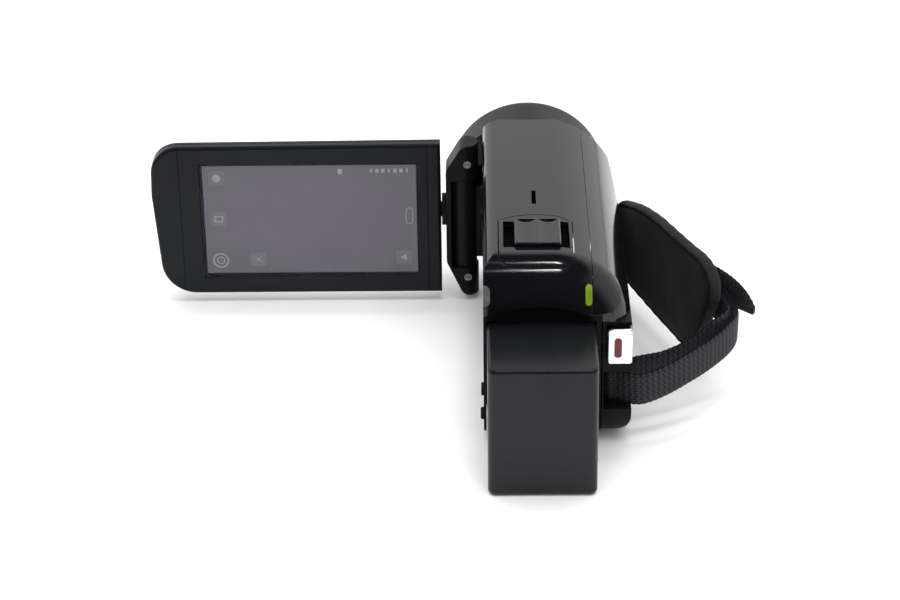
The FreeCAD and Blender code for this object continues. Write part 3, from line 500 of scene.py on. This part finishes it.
def pad_outline():
    """Rows along the pad, each (x, y, bottom, height, sideways direction), its front end rounded."""
    line, length = through(PAD_STATIONS, 0.6)
    rows = []
    for n in range(PAD_ROWS + 1):
        u = n / PAD_ROWS
        at = u * (len(line) - 1)
        i = min(int(at), len(line) - 2)
        x, y, low, tall = (a + (b - a) * (at - i) for a, b in zip(line[i], line[i + 1]))
        from_front = min(1.0, u * length / CAP_LENGTH)
        cap = CAP_SHARE + (1 - CAP_SHARE) * math.sqrt(from_front * (2 - from_front))
        rows.append((x, y, low + tall * (1 - cap) / 2, tall * cap, sideways(line, i)))
    return rows


def strap_pad():
    """Hand pad: two suede faces sewn at a piped edge, filled with foam."""
    rows = pad_outline()
    verts, rim = [], []
    ring = 2 * (PAD_COLUMNS + 1)
    for n, (x, y, low, tall, side) in enumerate(rows):
        end = min(n, PAD_ROWS - n) / END_RISE_ROWS
        for face in (1, -1):
            columns = range(PAD_COLUMNS + 1) if face == 1 else range(PAD_COLUMNS, -1, -1)
            for j in columns:
                v = j / PAD_COLUMNS
                from_edge = min(v, 1 - v) * tall / EDGE_RISE
                near = min(1.0, from_edge, end)
                bulge = math.sqrt(near * (2 - near))
                thick = PAD_EDGE / 2 * SEAM_SHARE + (PAD_CROWN - PAD_EDGE * SEAM_SHARE) / 2 * bulge
                if near == 0:
                    rim.append(len(verts))
                verts.append((Vector((x, y, low + tall * v)) + side * face * thick) * MM)
    pad = link("hand_pad", verts, ring_faces(len(rows), ring), MATERIALS["pad_fabric"], "pad_fabric")
    inflate(pad, rim)
    crease(pad, rows)
    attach(pad, "housing")
    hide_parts("strap_pad")
    piping(rows)
    stitches(rows)


def inflate(piece, pinned, frames=14, cap=0.5):
    """Short cloth simulation under pressure; no point moves further than cap, in millimetres."""
    rest = [v.co.copy() for v in piece.data.vertices]
    group = piece.vertex_groups.new(name="rim")
    group.add(pinned, 1.0, "REPLACE")
    cloth = piece.modifiers.new("cloth", "CLOTH")
    settings = cloth.settings
    settings.quality = 5
    settings.mass = 0.25
    settings.use_pressure = True
    settings.uniform_pressure_force = 4
    settings.vertex_group_mass = "rim"
    settings.tension_stiffness = 12
    settings.bending_stiffness = 0.4
    settings.effector_weights.gravity = 0
    for frame_number in range(1, frames + 1):
        scene.frame_set(frame_number)
    evaluated = piece.evaluated_get(bpy.context.evaluated_depsgraph_get())
    moved = [v.co.copy() for v in evaluated.data.vertices]
    piece.modifiers.remove(cloth)
    scene.frame_set(1)
    for vertex, old, new in zip(piece.data.vertices, rest, moved):
        step = new - old
        if step.length > cap * MM:
            step *= cap * MM / step.length
        vertex.co = old + step


PUCKER_DEPTH, PUCKER_REACH, PUCKER_TURN = 0.05, 2.4, 1.9
DENT_DEPTH, RIPPLE_DEPTH, DENT_REACH = 0.35, 0.12, 4
ROW_STEP = 0.7


def crease(pad, rows):
    """Soft hollows and puckers where the cover is drawn in at the seam."""
    ring = 2 * (PAD_COLUMNS + 1)
    for index, vertex in enumerate(pad.data.vertices):
        n, j = divmod(index, ring)
        face = 1 if j <= PAD_COLUMNS else -1
        v = (j if face == 1 else ring - 1 - j) / PAD_COLUMNS
        tall, side = rows[n][3:]
        edge = min(v * tall, (1 - v) * tall, min(n, PAD_ROWS - n) * ROW_STEP)
        turn = n * PUCKER_TURN + 3 * noise.noise(vertex.co * 300)
        pucker = math.exp(-edge / PUCKER_REACH) * math.sin(turn)
        dent = noise.noise(vertex.co * 55) * DENT_DEPTH + noise.noise(vertex.co * 160) * RIPPLE_DEPTH
        lift = (PUCKER_DEPTH * pucker + dent * min(1.0, edge / DENT_REACH)) * (1 if edge > 0.3 else 0)
        vertex.co += side * face * lift * MM


TRIM_STEP, CLOSING_STEP = 0.75, 0.8


def edge_loop(rows, inset=0.0):
    """Points round the pad's outline in its middle plane, inset in millimetres."""
    top = [Vector((x, y, low + tall - inset)) for x, y, low, tall, side in rows]
    bottom = [Vector((x, y, low + inset)) for x, y, low, tall, side in rows]
    trim = max(0, round(inset / TRIM_STEP))
    top, bottom = top[trim:len(top) - trim], bottom[trim:len(bottom) - trim]

    def closing(high, low_point):
        steps = max(3, round((high - low_point).length / CLOSING_STEP))
        return [high.lerp(low_point, n / steps) for n in range(1, steps)]

    return top + closing(top[-1], bottom[-1]) + bottom[::-1] + closing(bottom[0], top[0])


BINDING_SIDES, BINDING_REACH, BINDING_THICK = 14, 0.75, 1.75
BINDING_FACING, STITCH_FACING = Vector((0.86, 0.5, 0)), Vector((0.9, 0.42, 0))


def piping(rows):
    """Bound edge of the pad: a rolled tape all the way round."""
    loop = edge_loop(rows)
    count, ring = len(loop), BINDING_SIDES
    verts = []
    for i, spot in enumerate(loop):
        along = (loop[(i + 1) % count] - loop[i - 1]).normalized()
        out = along.cross(BINDING_FACING).normalized()
        flat = out.cross(along).normalized()
        swell = 1 + 0.05 * math.sin(i * 0.9) + 0.06 * noise.noise(spot * 0.4)
        for k in range(ring):
            a = 2 * math.pi * k / ring
            verts.append((spot + out * math.cos(a) * BINDING_REACH * swell
                          + flat * math.sin(a) * BINDING_THICK * swell) * MM)
    faces = [(i * ring + k, i * ring + (k + 1) % ring, (i + 1) % count * ring + (k + 1) % ring,
              (i + 1) % count * ring + k) for i in range(count) for k in range(ring)]
    link("pad_binding", verts, faces, MATERIALS["nylon_binding"], "nylon_webbing", "housing")


SEAM_INSET, STITCH_PITCH = 2.3, 3
THREAD_SIDES, THREAD_RINGS = 6, ((0, 1.8, 0.10), (0.5, 1.95, 0.2), (1, 1.8, 0.10))


def stitches(rows):
    """Thread along the binding on both faces. Each stitch has three rings: (place, lift, radius)."""
    verts, faces = [], []
    loop = edge_loop(rows, SEAM_INSET)
    sides = THREAD_SIDES
    for face in (1, -1):
        for i in range(0, len(loop) - 3, STITCH_PITCH):
            a, b = loop[i], loop[(i + 2) % len(loop)]
            along = (b - a).normalized()
            side = STITCH_FACING * face
            side = (side - along * side.dot(along)).normalized()
            out = along.cross(side)
            start = len(verts)
            for place, lift, radius in THREAD_RINGS:
                for k in range(sides):
                    t = 2 * math.pi * k / sides
                    verts.append((a.lerp(b, place) + side * (lift + math.cos(t) * radius)
                                  + out * math.sin(t) * radius) * MM)
            for first in (start, start + sides):
                faces += [(first + k, first + (k + 1) % sides, first + sides + (k + 1) % sides,
                           first + sides + k) for k in range(sides)]
            faces.append(tuple(start + k for k in range(sides - 1, -1, -1)))
            faces.append(tuple(start + 2 * sides + k for k in range(sides)))
    link("pad_stitching", verts, faces, MATERIALS["thread"], "nylon_webbing", "housing")


# ---------------------------------------------------------------- screen symbols


def flat_shape(verts, faces, outline, depth_front, thick):
    """Adds a thin plate whose outline is (x, z) points; depth_front is its face's y."""
    start = len(verts)
    count = len(outline)
    for y in (depth_front, depth_front + thick):
        verts += [Vector((x, y, z)) * MM for x, z in outline]
    faces.append(tuple(start + n for n in range(count)))
    faces.append(tuple(start + count + n for n in range(count - 1, -1, -1)))
    faces += [(start + n, start + count + n, start + count + (n + 1) % count, start + (n + 1) % count)
              for n in range(count)]


def rounded(cx, cz, w, h, r, steps=5):
    """Outline of a rectangle with rounded corners."""
    points = []
    for qx, qz, start in ((1, 1, 0), (-1, 1, 90), (-1, -1, 180), (1, -1, 270)):
        for n in range(steps + 1):
            a = math.radians(start + 90 * n / steps)
            points.append((cx + qx * (w / 2 - r) + r * math.cos(a),
                           cz + qz * (h / 2 - r) + r * math.sin(a)))
    return points


def disc(cx, cz, r, steps=24):
    return [(cx + r * math.cos(2 * math.pi * n / steps), cz + r * math.sin(2 * math.pi * n / steps))
            for n in range(steps)]


def hollow(verts, faces, outer, inner, y, thick):
    """A ring between two outlines with the same number of points."""
    start, count = len(verts), len(outer)
    for depth in (y, y + thick):
        verts += [Vector((x, depth, z)) * MM for x, z in outer]
        verts += [Vector((x, depth, z)) * MM for x, z in inner]
    for n in range(count):
        m = (n + 1) % count
        a, b, c, d = start, start + count, start + 2 * count, start + 3 * count
        faces += [(a + n, a + m, b + m, b + n), (c + m, c + n, d + n, d + m),
                  (a + m, a + n, c + n, c + m), (b + n, b + m, d + m, d + n)]


LAYER_GAP, LAYER_THICK, GLYPH_STEP, CROSS_STEP = 0.03, 0.02, 0.025, 0.022


def display_symbols():
    """Generic touch-screen symbols in a thin layer on the picture."""
    low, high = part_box("screen_display")
    left, bottom = low.x / MM, low.z / MM
    wide, tall = (high.x - low.x) / MM, (high.z - low.z) / MM
    y, thick = low.y / MM - LAYER_GAP, LAYER_THICK

    def at(u, v):
        return left + wide * u, bottom + tall * (1 - v)

    tiles, glyphs = ([], []), ([], [])
    for u, v in ((0.065, 0.11), (0.066, 0.49), (0.245, 0.875), (0.935, 0.86)):
        x, z = at(u, v)
        flat_shape(*tiles, rounded(x, z, 4.9, 4.9, 0.7), y, thick)
    front = y - GLYPH_STEP
    x, z = at(0.065, 0.11)
    flat_shape(*glyphs, disc(x, z, 1.3), front, thick)
    x, z = at(0.066, 0.49)
    hollow(*glyphs, rounded(x, z, 2.8, 2.2, 0.4), rounded(x, z, 2.0, 1.4, 0.3), front, thick)
    x, z = at(0.066, 0.88)
    hollow(*glyphs, disc(x, z, 2.6), disc(x, z, 2.1), front, thick)
    hollow(*glyphs, disc(x, z, 1.3), disc(x, z, 0.95), front, thick)
    x, z = at(0.245, 0.875)
    for way in (1, -1):
        stroke = [(x - way * 1.2, z - 1.0), (x - way * 1.2 + 0.35, z - 1.0),
                  (x + way * 1.2, z + 1.0), (x + way * 1.2 - 0.35, z + 1.0)]
        flat_shape(*glyphs, stroke[::way], front - CROSS_STEP * (way < 0), thick)
    x, z = at(0.935, 0.86)
    flat_shape(*glyphs, [(x + 0.9, z + 1.2), (x - 1.0, z), (x + 0.9, z - 1.2)], front, thick)
    x, z = at(0.965, 0.47)
    hollow(*glyphs, rounded(x, z, 2.2, 5.6, 1.0), rounded(x, z, 1.8, 5.2, 0.8), front, thick)
    x, z = at(0.645, 0.055)
    flat_shape(*glyphs, rounded(x, z, 1.5, 1.9, 0.5), front, thick)
    for n in range(7):
        x, z = at(0.79 + 0.028 * n, 0.05)
        flat_shape(*glyphs, rounded(x, z, 1.1 if n % 3 else 0.6, 1.3, 0.15, 2), front, thick)
    link("screen_tiles", *tiles, MATERIALS["symbol_tile"], "display_module", "screen", smooth=False)
    link("screen_symbols", *glyphs, MATERIALS["symbol"], "display_module", "screen", smooth=False)


# ---------------------------------------------------------------- studio


FLOOR_REACH, FLOOR_BREAK, FLOOR_DROP = 4.0, -0.19, 0.0002


def floor():
    """White paper. Its part near the camera is left out of reflections, like a dark room there."""
    paper, tree, shader, coords = new_material("paper")
    tree.links.new(tint(tree, spread(tree, grain(tree, coords, 30, 3), 0, 1),
                        (0.90, 0.895, 0.90, 1), (0.915, 0.91, 0.915, 1)), shader.inputs["Base Color"])
    shader.inputs["Roughness"].default_value = 0.85
    shader.inputs["Specular IOR Level"].default_value = 0.2
    level = cad_box[0].z - FLOOR_DROP
    for name, near, far in (("studio_floor", FLOOR_BREAK, FLOOR_REACH),
                            ("studio_floor_front", -FLOOR_REACH, FLOOR_BREAK)):
        corners = [(-FLOOR_REACH, near), (FLOOR_REACH, near), (FLOOR_REACH, far), (-FLOOR_REACH, far)]
        mesh = bpy.data.meshes.new(name)
        mesh.from_pydata([(x, y, level) for x, y in corners], [], [(0, 1, 2, 3)])
        sheet = bpy.data.objects.new(name, mesh)
        scene.collection.objects.link(sheet)
        mesh.materials.append(paper)
        sheet.visible_glossy = near == FLOOR_BREAK


LIGHT_TARGET = (0, 0, 0.03)
TUBE_DISTANCE, TUBE_SHIFT = 2.0, Vector((0.17, 0, 0))
TUBE_LENGTH, TUBE_WIDTH, TUBE_POWER = 0.26, 0.06, 3.6
WHITE_WALL, DARK_ROOM, WORLD_STRENGTH = (1.0, 0.99, 1.0, 1), (0.020, 0.021, 0.025, 1), 0.95


def area(name, spot, wide, tall, power, glossy=True):
    """A soft rectangular light aimed at the object."""
    data = bpy.data.lights.new(name, "AREA")
    data.shape = "RECTANGLE"
    data.size, data.size_y = wide, tall
    data.energy = power
    lamp_object = bpy.data.objects.new(name, data)
    scene.collection.objects.link(lamp_object)
    lamp_object.location = spot
    lamp_object.rotation_mode = "QUATERNION"
    lamp_object.rotation_quaternion = (Vector(LIGHT_TARGET) - Vector(spot)).to_track_quat("-Z", "Y")
    lamp_object.visible_glossy = glossy
    return lamp_object


def bearing(azimuth, elevation, distance):
    """Point at a bearing from the object: azimuth 0 is +Y, 90 is +X."""
    a, e = math.radians(azimuth), math.radians(elevation)
    return Vector((math.sin(a) * math.cos(e), math.cos(a) * math.cos(e), math.sin(e))) * distance


def lights():
    """Two soft fills that leave no reflections, and two tubes that draw the hood's streaks."""
    area("overhead_fill", (0, 0.1, 1.6), 2.4, 2.4, 46, glossy=False)
    area("front_fill", bearing(180, 40, 1.8), 1.6, 1.0, 10, glossy=False)
    for name, azimuth, elevation in (("front_tube", 0, 80), ("rear_tube", 180, 76)):
        spot = bearing(azimuth, elevation, TUBE_DISTANCE) + TUBE_SHIFT
        area(name, spot, TUBE_LENGTH, TUBE_WIDTH, TUBE_POWER)


def world():
    """White walls up to about 40 degrees. The ceiling and the room behind the camera are dark."""
    made = bpy.data.worlds.new("studio")
    scene.world = made
    made.use_nodes = True
    tree = made.node_tree
    background = tree.nodes["Background"]
    split = put(tree, "ShaderNodeSeparateXYZ", {0: put(tree, "ShaderNodeTexCoord").outputs["Generated"]})
    up = remap(tree, split.outputs["Z"], 0.60, 0.78, 1.0, 0.0)
    ahead = remap(tree, split.outputs["Y"], -0.55, -0.1, 0.02, 1.0)
    wall = product(tree, up, ahead)
    tree.links.new(tint(tree, wall, DARK_ROOM, WHITE_WALL), background.inputs["Color"])
    background.inputs["Strength"].default_value = WORLD_STRENGTH


CAMERA_TURN = (-0.864, 27.6, 0.799)  # yaw, pitch down and roll, in degrees
CAMERA_SPOT = (-13.841, -693.506, 378.103)  # millimetres
SENSOR_WIDTH, FOCAL_LENGTH = 36, 102.67


def camera():
    """The photograph's viewpoint: behind the camcorder and a little above it."""
    yaw, pitch, roll = (math.radians(a) for a in CAMERA_TURN)
    forward = Vector((math.sin(yaw) * math.cos(pitch), math.cos(yaw) * math.cos(pitch), -math.sin(pitch)))
    right = Vector((math.cos(yaw), -math.sin(yaw), 0))
    down = forward.cross(right)
    level_right = right * math.cos(roll) + down * math.sin(roll)
    level_down = down * math.cos(roll) - right * math.sin(roll)
    data = bpy.data.cameras.new("camera")
    data.sensor_width = SENSOR_WIDTH
    data.lens = FOCAL_LENGTH
    data.clip_start = 0.01
    data.clip_end = 20
    cam = bpy.data.objects.new("camera", data)
    scene.collection.objects.link(cam)
    pose = Matrix((level_right, -level_down, -forward)).transposed().to_4x4()
    pose.translation = Vector(CAMERA_SPOT) * MM
    cam.matrix_world = pose
    scene.camera = cam


# ---------------------------------------------------------------- build

dress_cad()
straps()
strap_pad()
display_symbols()
floor()
lights()
world()
camera()
scene.view_settings.view_transform = "Standard"
scene.view_settings.look = "None"
